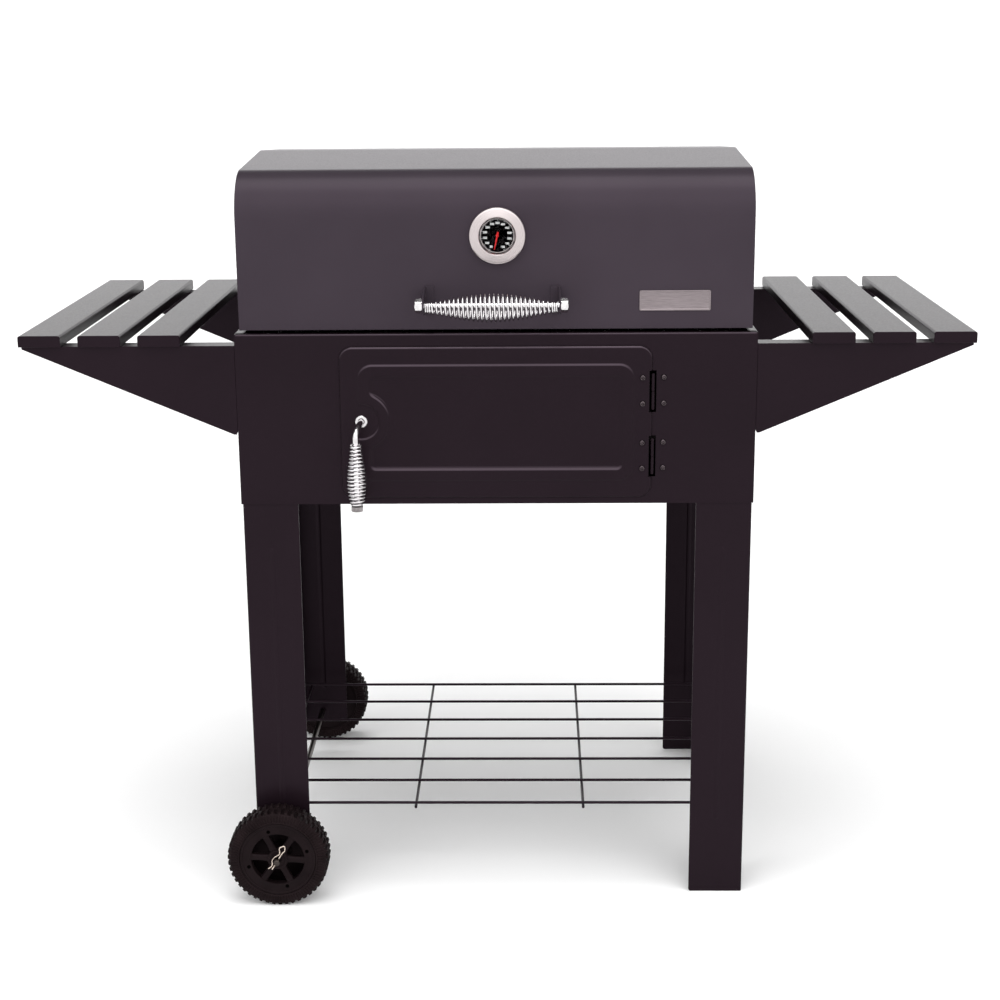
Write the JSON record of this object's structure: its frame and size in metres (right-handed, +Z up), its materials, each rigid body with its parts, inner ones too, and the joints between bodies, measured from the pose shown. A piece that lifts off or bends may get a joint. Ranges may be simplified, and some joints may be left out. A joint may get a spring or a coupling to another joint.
{
  "type": "charcoal grill",
  "caption": "Charcoal grill on angle legs with a hinged lid, a front ash door, slatted side shelves, a wire rack below and a pair of wheels.",
  "frame": {"origin": "on the floor, under the middle of the whole grill's outline", "axes": "+X to the right of a person facing the grill, +Y from the front to the back, +Z up"},
  "size_m": [1.416, 0.769, 1.152],
  "materials": {
    "enamel": "satin black-brown powder coat",
    "chrome": "bright chrome plate",
    "brushed": "brushed stainless steel",
    "zinc": "yellow zinc plate",
    "tread": "matte moulded black plastic",
    "hub": "satin moulded black plastic",
    "dial": "matte black with white marks",
    "needle": "satin red",
    "glass": "clear",
    "cast_iron": "matte enamelled cast iron"
  },
  "bodies": {
    "frame": {"firebox_front": "enamel", "firebox_rear": "enamel", "firebox_left": "enamel", "firebox_right": "enamel", "firebox_floor": "enamel", "leg_front_left": "enamel", "leg_front_right": "enamel", "leg_rear_left": "enamel", "leg_rear_right": "enamel", "bracket_front_left": "enamel", "bracket_front_right": "enamel", "bracket_rear_left": "enamel", "bracket_rear_right": "enamel", "slat_left_1": "enamel", "slat_left_2": "enamel", "slat_left_3": "enamel", "slat_right_1": "enamel", "slat_right_2": "enamel", "slat_right_3": "enamel", "bottom_rack": "enamel", "axle": "zinc", "axle_clip_front": "zinc", "axle_clip_rear": "zinc", "charcoal_grate": "cast_iron", "ash_pan": "enamel", "lid_hinge_fixed_left": "enamel", "lid_hinge_fixed_right": "enamel", "door_hinge_fixed_lower": "enamel", "door_hinge_fixed_upper": "enamel"},
    "lid": {"lid_shell": "enamel", "lid_end_left": "enamel", "lid_end_right": "enamel", "lid_hinge_moving_left": "enamel", "lid_hinge_moving_right": "enamel", "handle_bracket_left": "enamel", "handle_bracket_right": "enamel", "handle_nut_left": "chrome", "handle_nut_right": "chrome", "handle_rod": "chrome", "handle_coil": "chrome", "blank_plate": "brushed", "thermometer_case": "brushed", "thermometer_dial": "dial", "thermometer_glass": "glass", "thermometer_stem": "brushed"},
    "needle": {"thermometer_needle": "needle"},
    "door": {"door_panel": "enamel", "door_hinge_moving_lower": "enamel", "door_hinge_moving_upper": "enamel"},
    "latch": {"latch_rod": "chrome", "latch_washer": "chrome", "latch_coil": "chrome", "latch_nut": "chrome"},
    "front_wheel": {"tyre_front": "tread", "wheel_hub_front": "hub"},
    "rear_wheel": {"tyre_rear": "tread", "wheel_hub_rear": "hub"},
    "left_grate": {"cooking_grate_left": "cast_iron"},
    "right_grate": {"cooking_grate_right": "cast_iron"}
  },
  "joints": [
    {"name": "lid_hinge", "type": "hinge", "parent": "frame", "child": "lid", "pos_m": [0, 0.28675, 0.9055], "axis": [-1, 0, 0], "range_deg": [0, 95]},
    {"name": "thermometer_pivot", "type": "hinge", "parent": "lid", "child": "needle", "pos_m": [0.004, -0.31205, 1.0465], "axis": [0, 1, 0], "range_deg": [0, 290]},
    {"name": "door_hinge", "type": "hinge", "parent": "frame", "child": "door", "pos_m": [0.2338, -0.31545, 0.7656], "axis": [0, 0, 1], "range_deg": [0, 120]},
    {"name": "latch_turn", "type": "hinge", "parent": "door", "child": "latch", "pos_m": [-0.2013, -0.31775, 0.7716], "axis": [0, 1, 0], "range_deg": [0, 90]},
    {"name": "front_wheel_spin", "type": "hinge", "parent": "frame", "child": "front_wheel", "pos_m": [-0.3475, -0.34215, 0.0794], "axis": [0, 1, 0], "continuous": true},
    {"name": "rear_wheel_spin", "type": "hinge", "parent": "frame", "child": "rear_wheel", "pos_m": [-0.3475, 0.34925, 0.0794], "axis": [0, 1, 0], "continuous": true},
    {"name": "left_grate_lift", "type": "slide", "parent": "frame", "child": "left_grate", "axis": [0, 0, 1], "range_m": [0, 0.12]},
    {"name": "right_grate_lift", "type": "slide", "parent": "frame", "child": "right_grate", "axis": [0, 0, 1], "range_m": [0, 0.12]}
  ]
}
